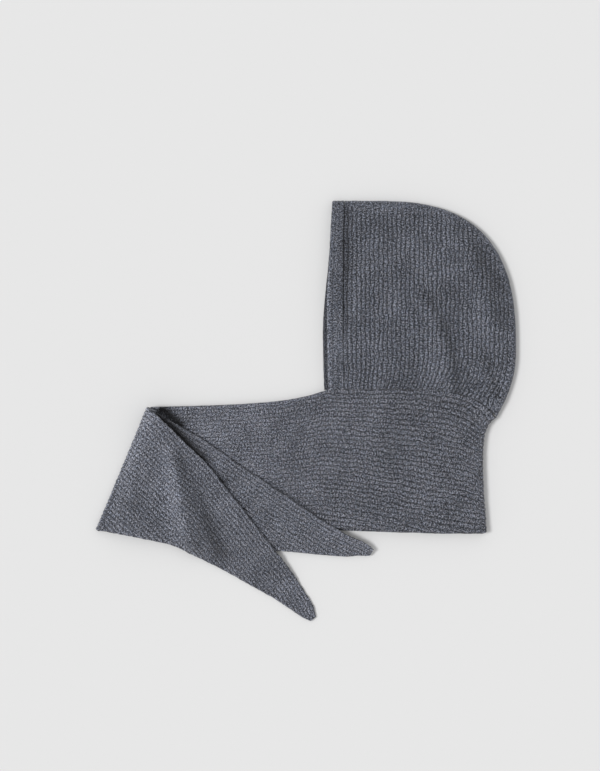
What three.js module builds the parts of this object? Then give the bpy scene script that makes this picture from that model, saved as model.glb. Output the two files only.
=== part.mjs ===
// A knitted snood hood: a hood joined to a long scarf collar with two pointed tails.
// It lies folded flat on its right side, with both tails folded back over the collar.
// Millimetres. X runs from the face opening to the back of the head, Y from the collar up
// to the crown, and Z up from the surface that the hood lies on.
import * as THREE from 'three';

const { clamp, lerp, smoothstep, degToRad } = THREE.MathUtils;

// The knit and how its layers lie
const knitThickness = 3; // one layer of rib knit, between its two faces
const ribRelief = 0.9; // from the valley between two ribs to a crest
const edgeRound = 1.3; // width of the rounding along a knitted edge
const sewnGap = 0.35; // between two pieces that are sewn together
const layGap = 1.1; // between layers that lie on each other
const foldLoft = 1.8; // air inside the fold of a tail
const cornerSpread = 45; // how far the extra air at the upper end of a crease reaches

// The hood
const hoodDepth = 234.5; // face edge to the back of the head
const hoodHeight = 235; // neck seam to the top edge, at the face
const crownStart = 52; // face edge to where the top edge starts to round down
const backLevel = 44; // neck seam to the level where the hood is deepest
const crownFullness = 2.8; // 2 is an ellipse, more is squarer
const backTuck = 1.9; // power of the curve from the deepest level in to the nape
const hoodRibs = 38; // ribs from the face band to the back
const faceBow = 5.4; // how far the face edge leans back at the top
const faceBowStart = 0.36; // share of hoodHeight where it starts to lean
const farSideShift = 6.5; // how far the far side's face edge shows past the near one
const farSideHides = { from: 0.28, to: 0.78 }; // shares of hoodHeight where it goes out of sight
const crownSeamDepth = 5; // from the panels' edges out to the outline
const hoodLoft = 7.6; // air between the panels in the middle of the hood
const crownLoft = 3.6; // air between the panels at the crown and the back
const domeFlatness = 6; // 2 is a round dome of air, more is flatter with a steeper rim

// The face band, a hem of two layers
const bandWidth = 16;
const bandThickness = 4.2;

// The collar and the scarf that it runs out into
const collarDepth = 196.5; // face edge to the centre back
const collarHeight = 180; // neck seam at the face to the bottom edge
const napeFlare = 14; // how far the centre back runs out to meet the hood
const napeFlareHeight = 12;
const collarWaist = 5; // how far the centre back leans in below that
const waistRise = 0.7; // 1 has the waist halfway down, less has it higher
const backShapeFade = 8; // power of the fade of both from the centre back towards the face
const hemCorner = 5; // rounding of the corner between the centre back and the bottom edge
const napeDrop = 34; // how far the neck seam falls from the face to the nape
const napeDropPower = 7; // 1 is a straight fall, more keeps it near the nape
const collarLoft = 5; // air inside the collar
const bottomSwing = { from: 0.1, to: 0.45 }; // shares of the way to a crease where the bottom rises
const tailLoft = 0.9; // air between the two sides of the scarf in front of the neck
const faceRamp = { from: -15, to: 0 }; // depths where that air grows to the hood's
const throatRamp = { from: -10, to: 35 }; // depths where that air grows to the collar's
const neckRamp = { from: -31, to: 43 }; // levels where the collar's air grows to the hood's
const throatDrop = 19; // how far the free edge falls just in front of the face
const throatLength = 48;
const freeEdgeFall = 0.015; // slope of the rest of the free edge
const tailWidth = 148.5; // across the strip at a fold
const backRibs = 26; // ribs across the strip at the centre back
const tailRibs = 31; // ribs across the strip at a fold
const drapeLength = 42; // how far a layer takes to come down off an edge under it

// How each side of the scarf is folded back: reach is from the face edge to the upper end
// of the crease, lean is the crease's tilt in degrees, heading is how many degrees the tail
// points down, slip is how far down the crease the tail's inner edge comes back, and loft
// is the extra air under the tail at the upper end of the crease.
const folds = {
  right: { reach: 224, lean: 22.8, heading: 50, tailLength: 335, slip: 0, loft: 4 },
  left: { reach: 216, lean: 14.2, heading: 31.7, tailLength: 324, slip: 5, loft: 5 },
};

// Where the inner and the outer edge of each tail lie, across its straight direction, as
// shares of tailWidth, at shares of the way from the crease to the tip.
const tailShape = [
  { along: 0, rightInner: 0, rightOuter: 1, leftInner: 0, leftOuter: 1 },
  { along: 0.06, rightInner: -0.024, rightOuter: 0.907, leftInner: -0.004, leftOuter: 0.955 },
  { along: 0.2, rightInner: -0.048, rightOuter: 0.708, leftInner: -0.012, leftOuter: 0.85 },
  { along: 0.3, rightInner: -0.072, rightOuter: 0.581, leftInner: -0.004, leftOuter: 0.765 },
  { along: 0.42, rightInner: -0.066, rightOuter: 0.49, leftInner: 0.011, leftOuter: 0.66 },
  { along: 0.55, rightInner: -0.057, rightOuter: 0.395, leftInner: 0.019, leftOuter: 0.54 },
  { along: 0.68, rightInner: -0.045, rightOuter: 0.309, leftInner: 0.031, leftOuter: 0.415 },
  { along: 0.8, rightInner: -0.035, rightOuter: 0.229, leftInner: 0.038, leftOuter: 0.305 },
  { along: 0.9, rightInner: -0.008, rightOuter: 0.177, leftInner: 0.026, leftOuter: 0.208 },
  { along: 0.96, rightInner: 0.013, rightOuter: 0.148, leftInner: 0.01, leftOuter: 0.132 },
  { along: 1, rightInner: 0.055, rightOuter: 0.115, leftInner: 0.02, leftOuter: 0.085 },
];

// Soft dents of the upper panel: places as shares of hoodDepth and hoodHeight, the radius
// as a share of hoodDepth, the depth as a share of hoodLoft.
const panelDents = [
  { x: 0.6, y: 0.86, radius: 0.16, depth: 0.1 },
  { x: 0.34, y: 0.62, radius: 0.22, depth: -0.07 },
  { x: 0.72, y: 0.45, radius: 0.2, depth: 0.12 },
  { x: 0.42, y: 0.22, radius: 0.2, depth: 0.09 },
  { x: 0.86, y: 0.08, radius: 0.1, depth: -0.1 },
];

// Soft ridges across the upper tail: the place as a share of its length from the crease,
// the width as a share of tailWidth, the height as a share of knitThickness.
const tailRidges = [
  { along: 0.2, width: 0.1, height: 0.15 },
  { along: 0.33, width: 0.12, height: 0.6 },
  { along: 0.52, width: 0.12, height: 0.3 },
];

const half = knitThickness / 2;
const napeX = collarDepth + napeFlare;

// Reads one column of a table at a share of its first column, on a smooth curve.
function readTable(rows, column, at) {
  const row = (i) => rows[clamp(i, 0, rows.length - 1)];
  const slope = (i) =>
    (row(i + 1)[column] - row(i - 1)[column]) / (row(i + 1).along - row(i - 1).along);
  const after = rows.findIndex((r) => r.along > at);
  const i = after < 0 ? rows.length - 2 : after - 1;
  const span = row(i + 1).along - row(i).along;
  const t = (at - row(i).along) / span;
  const straight = lerp(row(i)[column], row(i + 1)[column], t * t * (3 - 2 * t));
  const leaving = t * (1 - t) ** 2 * span * slope(i);
  const arriving = t * t * (t - 1) * span * slope(i + 1);
  return straight + leaving + arriving;
}

// The outline of the hood, seen from above

// Face edge of the near side, which leans back towards the top.
function faceEdge(y) {
  const bowFrom = faceBowStart * hoodHeight;
  return faceBow * ((y - bowFrom) / (hoodHeight - bowFrom)) ** 2;
}

// Face edge of the far side, which shows past the near one except at the top.
function farFaceEdge(y) {
  const shown = 1 - smoothstep(y / hoodHeight, farSideHides.from, farSideHides.to);
  return faceEdge(y) - farSideShift * shown;
}

// Upper edge of the scarf: the neck seam behind the face edge, a free edge in front of it.
function neckEdge(x) {
  if (x > 0) return -napeDrop * (x / napeX) ** napeDropPower;
  return freeEdgeFall * x - throatDrop * (1 - Math.exp(x / throatLength));
}

// Back edge of the hood, from the nape (0) up to its deepest level (1).
function backEdge(rise, inset) {
  const tuck = (hoodDepth - napeX) * (1 - rise) ** backTuck;
  const y = lerp(neckEdge(napeX - inset) + sewnGap, backLevel, rise);
  return new THREE.Vector2(hoodDepth - inset - tuck, y);
}

// Crown of the hood, from its deepest level (0) to the straight top edge (1).
function crownEdge(turn, inset) {
  const angle = (turn * Math.PI) / 2;
  const power = 2 / crownFullness;
  const reach = (hoodDepth - crownStart - inset) * Math.max(0, Math.cos(angle)) ** power;
  const rise = (hoodHeight - backLevel - inset) * Math.sin(angle) ** power;
  return new THREE.Vector2(crownStart + reach, backLevel + rise);
}

// 0 in the middle of the hood, 1 on its outline at the crown and the back.
function nearOutline(x, y) {
  const low = clamp((backLevel - y) / (backLevel + napeDrop), 0, 1);
  const back = hoodDepth - (hoodDepth - napeX) * low ** backTuck;
  const reach = Math.max(0, x - crownStart) / (back - crownStart);
  const rise = Math.max(0, y - backLevel) / (hoodHeight - backLevel);
  return (reach ** crownFullness + rise ** crownFullness) ** (1 / crownFullness);
}

// The plan of the scarf

// Sizes and directions of one side of the scarf, from how it is folded.
function scarfSide(fold) {
  const lean = degToRad(fold.lean);
  const heading = degToRad(fold.heading);
  const corner = new THREE.Vector2(-fold.reach, neckEdge(-fold.reach));
  const crease = new THREE.Vector2(-Math.sin(lean), -Math.cos(lean));
  const outward = new THREE.Vector2(-Math.cos(lean), Math.sin(lean));
  const tail = new THREE.Vector2(Math.cos(heading), -Math.sin(heading));
  const across = new THREE.Vector2(tail.y, -tail.x);
  const creaseLength = tailWidth / crease.dot(across);
  const foot = corner.clone().addScaledVector(crease, creaseLength);
  return { ...fold, corner, crease, outward, tail, across, creaseLength, foot };
}

const right = { ...scarfSide(folds.right), inner: 'rightInner', outer: 'rightOuter' };
const left = { ...scarfSide(folds.left), inner: 'leftInner', outer: 'leftOuter' };

// Point of a side before its crease: along from the centre back (0) to the crease (1),
// down from the upper edge (0) to the bottom edge (1).
function sidePoint(side, along, down) {
  const nearBack = (1 - along) ** backShapeFade;
  const flare = napeFlare * nearBack;
  const waist = collarWaist * nearBack * Math.sin(Math.PI * down ** waistRise);
  const intoCorner = clamp(1 - ((1 - down) * collarHeight) / hemCorner, 0, 1);
  const corner = hemCorner * nearBack * (1 - Math.sqrt(1 - intoCorner ** 2));
  const topX = lerp(collarDepth, side.corner.x, along);
  const bottomX = lerp(collarDepth, side.foot.x, along);
  const rise = smoothstep(along, bottomSwing.from, bottomSwing.to);
  const bottomY = lerp(-collarHeight, side.foot.y, rise);
  const fade = Math.exp((-down * collarHeight) / napeFlareHeight);
  return new THREE.Vector2(
    lerp(topX, bottomX, down) + flare * fade - waist - corner,
    lerp(neckEdge(topX + flare), bottomY, down),
  );
}

// Point on one edge of a tail, at a share of the way and a distance from the crease.
function tailEdge(side, edge, along, distance) {
  return side.corner
    .clone()
    .addScaledVector(side.crease, side.slip)
    .addScaledVector(side.tail, distance)
    .addScaledVector(side.across, tailWidth * readTable(tailShape, edge, along));
}

// Point of a tail: along from the crease (0) to the tip (1), down from the inner edge (0)
// to the tapered outer edge (1).
function tailPoint(side, along, down) {
  const footReach = side.creaseLength * side.crease.dot(side.tail);
  const inner = tailEdge(side, side.inner, along, along * side.tailLength);
  const outer = tailEdge(side, side.outer, along, lerp(footReach, side.tailLength, along));
  return inner.lerp(outer, down);
}

// Outline of a laid piece of the scarf, as a loop of points.
function outlineOf(point, side) {
  const steps = 24;
  const edge = (down) =>
    Array.from({ length: steps + 1 }, (_, i) => point(side, i / steps, down));
  return [...edge(0), ...edge(1).reverse()];
}

// How much of a layer's height is left at a point: 1 over the layer, 0 well beside it.
function coverOf(outline) {
  return (x, y) => {
    let nearest = Infinity;
    let inside = false;
    outline.forEach((a, i) => {
      const b = outline[(i + 1) % outline.length];
      const run = { x: b.x - a.x, y: b.y - a.y };
      const lengthSquared = run.x ** 2 + run.y ** 2 || 1;
      const t = clamp(((x - a.x) * run.x + (y - a.y) * run.y) / lengthSquared, 0, 1);
      nearest = Math.min(nearest, Math.hypot(x - a.x - t * run.x, y - a.y - t * run.y));
      if (a.y > y !== b.y > y && x < a.x + ((y - a.y) * run.x) / run.y) inside = !inside;
    });
    return inside ? 1 : 1 - smoothstep(nearest, edgeRound, drapeLength);
  };
}

const overRight = coverOf(outlineOf(sidePoint, right));
const overLeft = coverOf(outlineOf(sidePoint, left));
const overLeftTail = coverOf(outlineOf(tailPoint, left));

// Heights of the middle of each layer above the surface that the hood lies on

function panelDent(x, y) {
  return panelDents.reduce((sum, dent) => {
    const dx = x - dent.x * hoodDepth;
    const dy = y - dent.y * hoodHeight;
    const away = (dx ** 2 + dy ** 2) / (dent.radius * hoodDepth) ** 2;
    return sum - dent.depth * hoodLoft * Math.exp(-away);
  }, 0);
}

// The right side of the hood and the scarf lies flat.
function lowerLayer() {
  return half;
}

// The left side of the hood and the scarf lies over it, with air between them.
function upperLayer(x, y) {
  const ramp = (at, { from, to }) => smoothstep(at, from, to);
  const dome = 1 - Math.min(1, nearOutline(x, y)) ** domeFlatness;
  const overHead = lerp(crownLoft, hoodLoft + panelDent(x, y), dome);
  const inHood = lerp(tailLoft, overHead, ramp(x, faceRamp));
  const inCollar = lerp(tailLoft, collarLoft, ramp(x, throatRamp));
  const loft = lerp(inCollar, inHood, ramp(y, neckRamp));
  return knitThickness + loft + half;
}

// How far a point lies behind a crease.
function behindCrease(side, x, y) {
  return -((x - side.corner.x) * side.outward.x + (y - side.corner.y) * side.outward.y);
}

// Height of a tail that lies on a list of layers, each with its top and its cover. It
// hangs between the layers' edges, and it rises a little more at its own crease and most
// at the upper end of that.
function restOn(layers, side, foldsOver, x, y) {
  const nearCrease = 1 - smoothstep(behindCrease(side, x, y), 0, drapeLength);
  const fromCorner = Math.hypot(x - side.corner.x, y - side.corner.y);
  const open = side.loft * Math.exp(-((fromCorner / cornerSpread) ** 2));
  const heights = layers.map(({ top, cover }, i) => {
    const gap = i === foldsOver ? lerp(layGap, foldLoft, nearCrease) : layGap;
    return cover * (top + gap);
  });
  return Math.max(0, ...heights) + open + half;
}

// The left tail lies on the left side of the scarf.
function leftTailLayer(x, y) {
  const layers = [
    { top: knitThickness, cover: overRight(x, y) },
    { top: upperLayer(x, y) + half, cover: overLeft(x, y) },
  ];
  return restOn(layers, left, 1, x, y);
}

// The right tail lies on top of everything.
function rightTailLayer(x, y) {
  const layers = [
    { top: knitThickness, cover: overRight(x, y) },
    { top: upperLayer(x, y) + half, cover: overLeft(x, y) },
    { top: leftTailLayer(x, y) + half, cover: overLeftTail(x, y) },
  ];
  const from = right.corner;
  const along = ((x - from.x) * right.tail.x + (y - from.y) * right.tail.y) / right.tailLength;
  const ridges = tailRidges.reduce((sum, ridge) => {
    const away = ((along - ridge.along) * right.tailLength) / (ridge.width * tailWidth);
    return sum + ridge.height * knitThickness * Math.exp(-(away ** 2));
  }, 0);
  const lying = restOn(layers, right, 0, x, y);
  return lying + ridges * overRight(x, y);
}

// Courses of knit. A course is a line across the ribs: it gives a place in the middle of
// the knit and the direction of its outer face, at a share of the way across.

// A course that lies on a height field, with its outer face up or down.
function laidCourse(point, layer, facing, ribs, ribbed) {
  const place = (across) => {
    const { x, y } = point(across);
    const step = 0.5;
    const slopeX = (layer(x + step, y) - layer(x - step, y)) / (2 * step);
    const slopeY = (layer(x, y + step) - layer(x, y - step)) / (2 * step);
    const outer = new THREE.Vector3(-slopeX, -slopeY, 1).normalize();
    return {
      middle: new THREE.Vector3(x, y, layer(x, y)),
      outer: outer.multiplyScalar(facing),
    };
  };
  return { place, ribs, ribbed };
}

// A course in the round of a fold between two layers. turn runs from 0, flat on the lower
// layer, to 180 degrees, flat under the upper one.
function foldCourse(point, outward, layers, turn, facing, ribs) {
  const angle = degToRad(turn);
  const place = (across) => {
    const { x, y } = point(across);
    const low = layers.low(x, y);
    const radius = (layers.high(x, y) - low) / 2;
    const back = radius * (Math.sin(angle) - 1);
    const outer = new THREE.Vector3(
      outward.x * Math.sin(angle),
      outward.y * Math.sin(angle),
      -Math.cos(angle),
    );
    const middle = new THREE.Vector3(
      x + outward.x * back,
      y + outward.y * back,
      low + radius * (1 - Math.cos(angle)),
    );
    return { middle, outer: outer.multiplyScalar(facing) };
  };
  return { place, ribs, ribbed: 'none' };
}

// Rib numbers of the points of a course: every crest and valley where the face is ribbed.
function ribStops(course, fine) {
  const step = fine ? 0.5 : 3;
  const closest = 0.3;
  const start = course.edgeShare * course.ribs;
  const stops = [start];
  for (let rib = step; rib < course.ribs - start - closest; rib += step) {
    if (rib > start + closest) stops.push(rib);
  }
  return [...stops, course.ribs - start];
}

// Triangles between two lines of points that are sorted by rib number.
function stitch(a, b, faces) {
  let i = 0;
  let j = 0;
  while (i < a.length - 1 || j < b.length - 1) {
    const nextA = i < a.length - 1 ? a[i + 1].rib : Infinity;
    const nextB = j < b.length - 1 ? b[j + 1].rib : Infinity;
    if (nextA <= nextB) {
      faces.push([a[i].index, b[j].index, a[i + 1].index]);
      i += 1;
    } else {
      faces.push([a[i].index, b[j].index, b[j + 1].index]);
      j += 1;
    }
  }
}

// A sheet of knit as one closed solid. Its two faces meet in a rounded edge all round: the
// first and the last course, and both ends of every course, lie in the middle of the knit.
function knitSheet(courses) {
  const widestEdge = 0.25;
  const points = [];
  const faces = [];
  const addPoint = (point, rib) => {
    points.push(point);
    return { index: points.length - 1, rib };
  };
  const lines = courses.map((course, k) => {
    const first = course.place(0).middle;
    const last = course.place(1).middle;
    course.edgeShare = Math.min(widestEdge, edgeRound / first.distanceTo(last));
    const start = addPoint(first, 0);
    const end = addPoint(last, course.ribs);
    const side = (name, sign) => {
      const fine = course.ribbed === name || course.fineEdge;
      const middle = ribStops(course, fine).map((rib) => {
        const at = course.place(rib / course.ribs);
        const crest = (ribRelief / 2) * Math.cos(2 * Math.PI * (rib - 0.5));
        const off = half + (course.ribbed === name ? crest : 0);
        return addPoint(at.middle.addScaledVector(at.outer, sign * off), rib);
      });
      return [start, ...middle, end];
    };
    if (k > 0 && k < courses.length - 1) {
      return { outer: side('outer', 1), inner: side('inner', -1) };
    }
    const edge = ribStops(course, course.fineEdge).map((rib) =>
      addPoint(course.place(rib / course.ribs).middle, rib));
    return { outer: [start, ...edge, end], inner: [start, ...edge, end] };
  });
  lines.slice(1).forEach((line, k) => {
    stitch(lines[k].outer, line.outer, faces);
    const under = [];
    stitch(lines[k].inner, line.inner, under);
    faces.push(...under.map(([a, b, c]) => [a, c, b]));
  });
  return closedGeometry(points, faces);
}

// A closed bar through rings of points, with a flat cap at each end.
function barGeometry(rings) {
  const size = rings[0].length;
  const faces = [];
  rings.slice(1).forEach((_, k) => {
    for (let i = 0; i < size; i += 1) {
      const a = k * size + i;
      const b = k * size + ((i + 1) % size);
      faces.push([a, b, b + size], [a, b + size, a + size]);
    }
  });
  const end = (rings.length - 1) * size;
  for (let i = 1; i < size - 1; i += 1) {
    faces.push([0, i + 1, i], [end, end + i, end + i + 1]);
  }
  return closedGeometry(rings.flat(), faces);
}

// A geometry from shared points and triangles, turned so that its faces point outwards.
function closedGeometry(points, faces) {
  const volume = faces.reduce((sum, [a, b, c]) => {
    const normal = new THREE.Vector3().crossVectors(points[b], points[c]);
    return sum + points[a].dot(normal);
  }, 0);
  const turned = volume > 0 ? faces : faces.map(([a, b, c]) => [a, c, b]);
  const geometry = new THREE.BufferGeometry().setFromPoints(points);
  geometry.setIndex(turned.flat());
  geometry.computeVertexNormals();
  return geometry;
}

// The hood's two panels

// Courses of a panel, from the neck seam to the top edge.
function panelCourses(faceLine, layer, facing, ribbed) {
  const fromFace = bandWidth + sewnGap;
  const fullWidth = hoodDepth - crownSeamDepth - fromFace;
  const course = (bottomY, end) => {
    const point = (across) => {
      const x = lerp(fromFace, end.x, across);
      const y = bottomY(x);
      return new THREE.Vector2(lerp(faceLine(y) + fromFace, end.x, across), y);
    };
    const ribs = (hoodRibs * (end.width - fromFace)) / fullWidth;
    return laidCourse(point, layer, facing, ribs, ribbed);
  };
  const edgeShare = edgeRound / (backLevel + napeDrop);
  const lower = [0, edgeShare, 0.12, 0.3, 0.6].map((rise) => {
    const back = backEdge(rise, crownSeamDepth);
    const seam = (x) => neckEdge((x * (napeX - crownSeamDepth)) / back.x) + sewnGap;
    const level = (x) => lerp(seam(x), backLevel, rise);
    return course(level, { x: back.x, width: fullWidth + fromFace });
  });
  lower[0].fineEdge = true;
  lower[1].fineEdge = true;
  const turns = [0, 0.11, 0.22, 0.33, 0.45, 0.57, 0.69, 0.8, 0.9];
  const upper = turns.map((turn) => {
    const end = crownEdge(turn, crownSeamDepth);
    return course(() => end.y, { x: end.x, width: end.x });
  });
  const top = crownEdge(1, crownSeamDepth);
  const rimSpread = 6;
  const rim = [edgeRound, 0].map((below) => {
    const x = top.x + rimSpread * below;
    return course(() => top.y - below, { x, width: x });
  });
  return [...lower, ...upper, ...rim];
}

function hoodPanelLeft() {
  return knitSheet(panelCourses(faceEdge, upperLayer, 1, 'outer'));
}

function hoodPanelRight() {
  return knitSheet(panelCourses(farFaceEdge, lowerLayer, -1, 'none'));
}

// The seam over the crown and down the back that joins the two panels: a half-round edge
// as high as the two layers.
function crownSeam() {
  const depth = crownSeamDepth - sewnGap;
  const start = bandWidth + sewnGap + faceEdge(hoodHeight);
  const topRun = (share) => (inset) =>
    new THREE.Vector2(lerp(start, crownStart, share), hoodHeight - inset);
  const crownRun = (share) => (inset) => crownEdge(1 - share, inset);
  const backRun = (share) => (inset) => backEdge(1 - share, inset);
  const shares = (count) => Array.from({ length: count }, (_, i) => i / count);
  const steps = { top: 6, crown: 20, back: 8 };
  const line = [
    ...shares(steps.top).map(topRun),
    ...shares(steps.crown).map(crownRun),
    ...shares(steps.back).map(backRun),
    backRun(1),
  ];
  const sides = 7;
  const rings = line.map((edge) => {
    const ring = [];
    for (let i = 0; i < sides; i += 1) {
      const angle = Math.PI * (i / (sides - 1) - 0.5);
      const inner = edge(crownSeamDepth);
      const height = upperLayer(inner.x, inner.y) + half;
      const at = edge(depth * (1 - Math.cos(angle)));
      ring.push(new THREE.Vector3(at.x, at.y, (height / 2) * (1 + Math.sin(angle))));
    }
    return ring;
  });
  return barGeometry(rings);
}

// The face band: one long hem that runs up the far side, turns over at the top and comes
// down the near side.
function faceBand() {
  const halfBand = bandThickness / 2;
  const arcSteps = 6;
  const endThickness = 0.6;
  const section = [];
  for (let i = 0; i <= arcSteps; i += 1) {
    const angle = Math.PI * (i / arcSteps - 0.5);
    section.push({ in: halfBand * (1 - Math.cos(angle)), off: halfBand * Math.sin(angle) });
  }
  section.push({ in: bandWidth - edgeRound, off: halfBand });
  section.push({ in: bandWidth, off: endThickness * halfBand });
  section.push({ in: bandWidth, off: -endThickness * halfBand });
  section.push({ in: bandWidth - edgeRound, off: -halfBand });
  const nearHeight = (y) => upperLayer(faceEdge(y) + bandWidth, y);
  const topHeight = nearHeight(hoodHeight);
  const radius = (topHeight - halfBand) / 2;
  const turnLevel = hoodHeight - radius - halfBand;
  const ring = (x, y, z, angle) => section.map((point) => new THREE.Vector3(
    x + point.in,
    y + point.off * Math.sin(angle),
    z - point.off * Math.cos(angle),
  ));
  const steps = 10;
  const levels = Array.from({ length: steps }, (_, i) => lerp(sewnGap, turnLevel, i / steps));
  const turns = Array.from({ length: arcSteps + 1 }, (_, i) => (Math.PI * i) / arcSteps);
  return barGeometry([
    ...levels.map((y) => ring(farFaceEdge(y), y, halfBand, 0)),
    ...turns.map((angle) => ring(
      faceEdge(turnLevel),
      turnLevel + radius * Math.sin(angle),
      halfBand + radius * (1 - Math.cos(angle)),
      angle,
    )),
    ...levels.reverse().map((y) => ring(faceEdge(y), y, nearHeight(y), Math.PI)),
  ]);
}

// The scarf: one strip that is folded at the centre back, with each end folded over the
// front again. Its courses run from the tip of the right tail to the tip of the left one.
function scarf() {
  const ribsAlong = (along) => lerp(backRibs, tailRibs, smoothstep(along, 0, 0.5));
  const side = (which, layer, facing, ribbed) =>
    [0.02, 0.05, 0.09, 0.14, 0.21, 0.3, 0.4, 0.46, 0.5, 0.55, 0.62, 0.72, 0.84, 0.96].map(
      (along) => laidCourse(
        (down) => sidePoint(which, along, down),
        layer,
        facing,
        ribsAlong(along),
        ribbed,
      ),
    );
  const widthShare = ({ outer, inner }, along) =>
    readTable(tailShape, outer, along) - readTable(tailShape, inner, along);
  const tail = (which, layer, facing, ribbed) => {
    const rim = 1 - edgeRound / which.tailLength;
    const even = Array.from({ length: 20 }, (_, i) => lerp(0.045, 0.92, i / 19));
    return [...even, 0.955, 0.985, rim, 1].map(
      (along) => laidCourse(
        (down) => tailPoint(which, along, down),
        layer,
        facing,
        Math.max(1, tailRibs * widthShare(which, along)),
        ribbed,
      ),
    );
  };
  const turns = [0, 36, 72, 108, 144, 180];
  const creaseFold = (which, layers, facing) => turns.map((turn) => foldCourse(
    (down) => which.corner.clone().lerp(which.foot, down),
    which.outward,
    layers,
    turn,
    facing,
    tailRibs,
  ));
  const backFold = turns.map((turn) => foldCourse(
    (down) => sidePoint(left, 0, down),
    new THREE.Vector2(1, 0),
    { low: lowerLayer, high: upperLayer },
    turn,
    1,
    backRibs,
  ));
  return knitSheet([
    ...tail(right, rightTailLayer, 1, 'outer').reverse(),
    ...creaseFold(right, { low: lowerLayer, high: rightTailLayer }, 1).reverse(),
    ...side(right, lowerLayer, -1, 'none').reverse(),
    ...backFold,
    ...side(left, upperLayer, 1, 'outer'),
    ...creaseFold(left, { low: upperLayer, high: leftTailLayer }, -1),
    ...tail(left, leftTailLayer, -1, 'inner'),
  ]);
}

function piece(name, geometry, color) {
  const material = new THREE.MeshStandardMaterial({ color, roughness: 0.95, metalness: 0 });
  const mesh = new THREE.Mesh(geometry, material);
  mesh.name = name;
  return mesh;
}

const laid = new THREE.Group();
laid.add(
  piece('hood_panel_left', hoodPanelLeft(), '#595c64'),
  piece('hood_panel_right', hoodPanelRight(), '#595c64'),
  piece('crown_seam', crownSeam(), '#585b63'),
  piece('face_band', faceBand(), '#565960'),
  piece('scarf', scarf(), '#5e6068'),
);

// The origin is in the middle of the space that the hood takes up on its surface.
const space = new THREE.Box3().setFromObject(laid);
const middle = space.getCenter(new THREE.Vector3());
laid.position.set(-middle.x, -middle.y, -space.min.z);

const snoodHood = new THREE.Group();
snoodHood.add(laid);

export default snoodHood;
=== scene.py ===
import bpy
import math
import numpy as np
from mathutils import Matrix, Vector


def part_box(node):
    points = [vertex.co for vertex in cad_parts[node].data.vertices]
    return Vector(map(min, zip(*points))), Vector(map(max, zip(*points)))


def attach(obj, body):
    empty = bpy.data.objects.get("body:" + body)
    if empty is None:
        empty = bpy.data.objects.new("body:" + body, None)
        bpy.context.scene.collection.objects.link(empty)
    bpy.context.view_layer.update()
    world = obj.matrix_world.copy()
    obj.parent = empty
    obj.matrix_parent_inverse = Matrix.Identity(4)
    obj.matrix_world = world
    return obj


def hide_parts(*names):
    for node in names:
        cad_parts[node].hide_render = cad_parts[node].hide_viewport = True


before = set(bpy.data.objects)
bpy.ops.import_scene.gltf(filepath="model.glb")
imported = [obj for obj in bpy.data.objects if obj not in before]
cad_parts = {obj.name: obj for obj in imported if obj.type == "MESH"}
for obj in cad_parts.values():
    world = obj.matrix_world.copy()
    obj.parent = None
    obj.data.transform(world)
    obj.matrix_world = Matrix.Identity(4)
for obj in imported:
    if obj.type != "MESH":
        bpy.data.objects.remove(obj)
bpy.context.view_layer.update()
bpy.ops.object.select_all(action="DESELECT")
print("frame loaded")

# Lengths are in millimetres until a piece is made, angles in degrees.
# x runs from the face edge to the back of the head, y from the neck seam up to the crown.
knit = {
    "thickness": 3.0,
    "relief": 1.15,  # valley to crest of a rib
    "stitch": 3.1,
    "edgeRound": 1.5,
    "layGap": 1.1,  # between layers that lie on each other
    "sewnGap": 0.1,
    "sewnRound": 0.25,
    "crestPower": 0.8,
    "crestDrop": 0.6,
    "wander": 0.24,  # of a rib from its line, in ribs
    "wanderGrain": (0.6, 0.45),  # how fast it changes, across the ribs and along them
    "uneven": 0.6,  # share by which a crest's height varies
    "knots": 0.34,  # share of the relief
    "knotGrain": (1.3, 1.2),
    "edgeStops": (0, 0.04, 0.12, 0.25),  # in ribs, from the edge of a row
    "innerFrom": 0.3,
}
hood = {
    "depth": 234.5,
    "height": 235.0,
    "crownStart": 52.0,
    "backLevel": 44.0,
    "fullness": 2.8,
    "backTuck": 1.9,
    "ribs": 38,
    "faceBow": 5.4,
    "faceBowStart": 0.36,
    "farShift": 6.5,
    "farHides": (0.28, 0.78),
    "seamDepth": 5.0,
    "loft": 7.6,
    "crownLoft": 3.6,
    "domeFlatness": 6.0,
    "faceBlend": (-15, 0),  # x where the loft of the hood begins
}
dents = [  # of the upper panel: x, y, radius, depth
    {"x": 141, "y": 202, "radius": 37, "depth": 0.8},
    {"x": 80, "y": 146, "radius": 51, "depth": -0.5},
    {"x": 169, "y": 106, "radius": 47, "depth": 0.9},
    {"x": 99, "y": 52, "radius": 47, "depth": 0.7},
    {"x": 201, "y": 19, "radius": 23, "depth": -0.8},
]
upperWrinkles = [  # the crest line, half the width and the height
    {"line": [(114, 120), (132, 86), (146, 51), (153, 4)], "width": 9, "height": 3.8},
    {"line": [(191, 40), (207, -10)], "width": 8, "height": 2.8},
    {"line": [(168, 186), (193, 134), (200, 84)], "width": 11, "height": 4.2},
    {"line": [(66, 48), (66, 24)], "width": 13, "height": 1.8},
    {"line": [(25.5, 228), (23.5, 70)], "width": 6, "height": -2.2},
    {"line": [(76, -8), (60, -62)], "width": 15, "height": 2.0},
    {"line": [(-52, -60), (-60, -112)], "width": 13, "height": 1.6},
    {"line": [(120, -168), (192, -173)], "width": 2.6, "height": 0.8},
]
tailWrinkles = [
    {"line": [(-196, -74), (-187, -112), (-179, -151), (-168, -196)], "width": 10, "height": 8.0},
    {"line": [(-203, -54), (-254, -152)], "width": 10, "height": 2.6},
    {"line": [(-118, -150), (-96, -196)], "width": 13, "height": 1.6},
    {"line": [(-70, -205), (-48, -240)], "width": 10, "height": 1.2},
]
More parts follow.
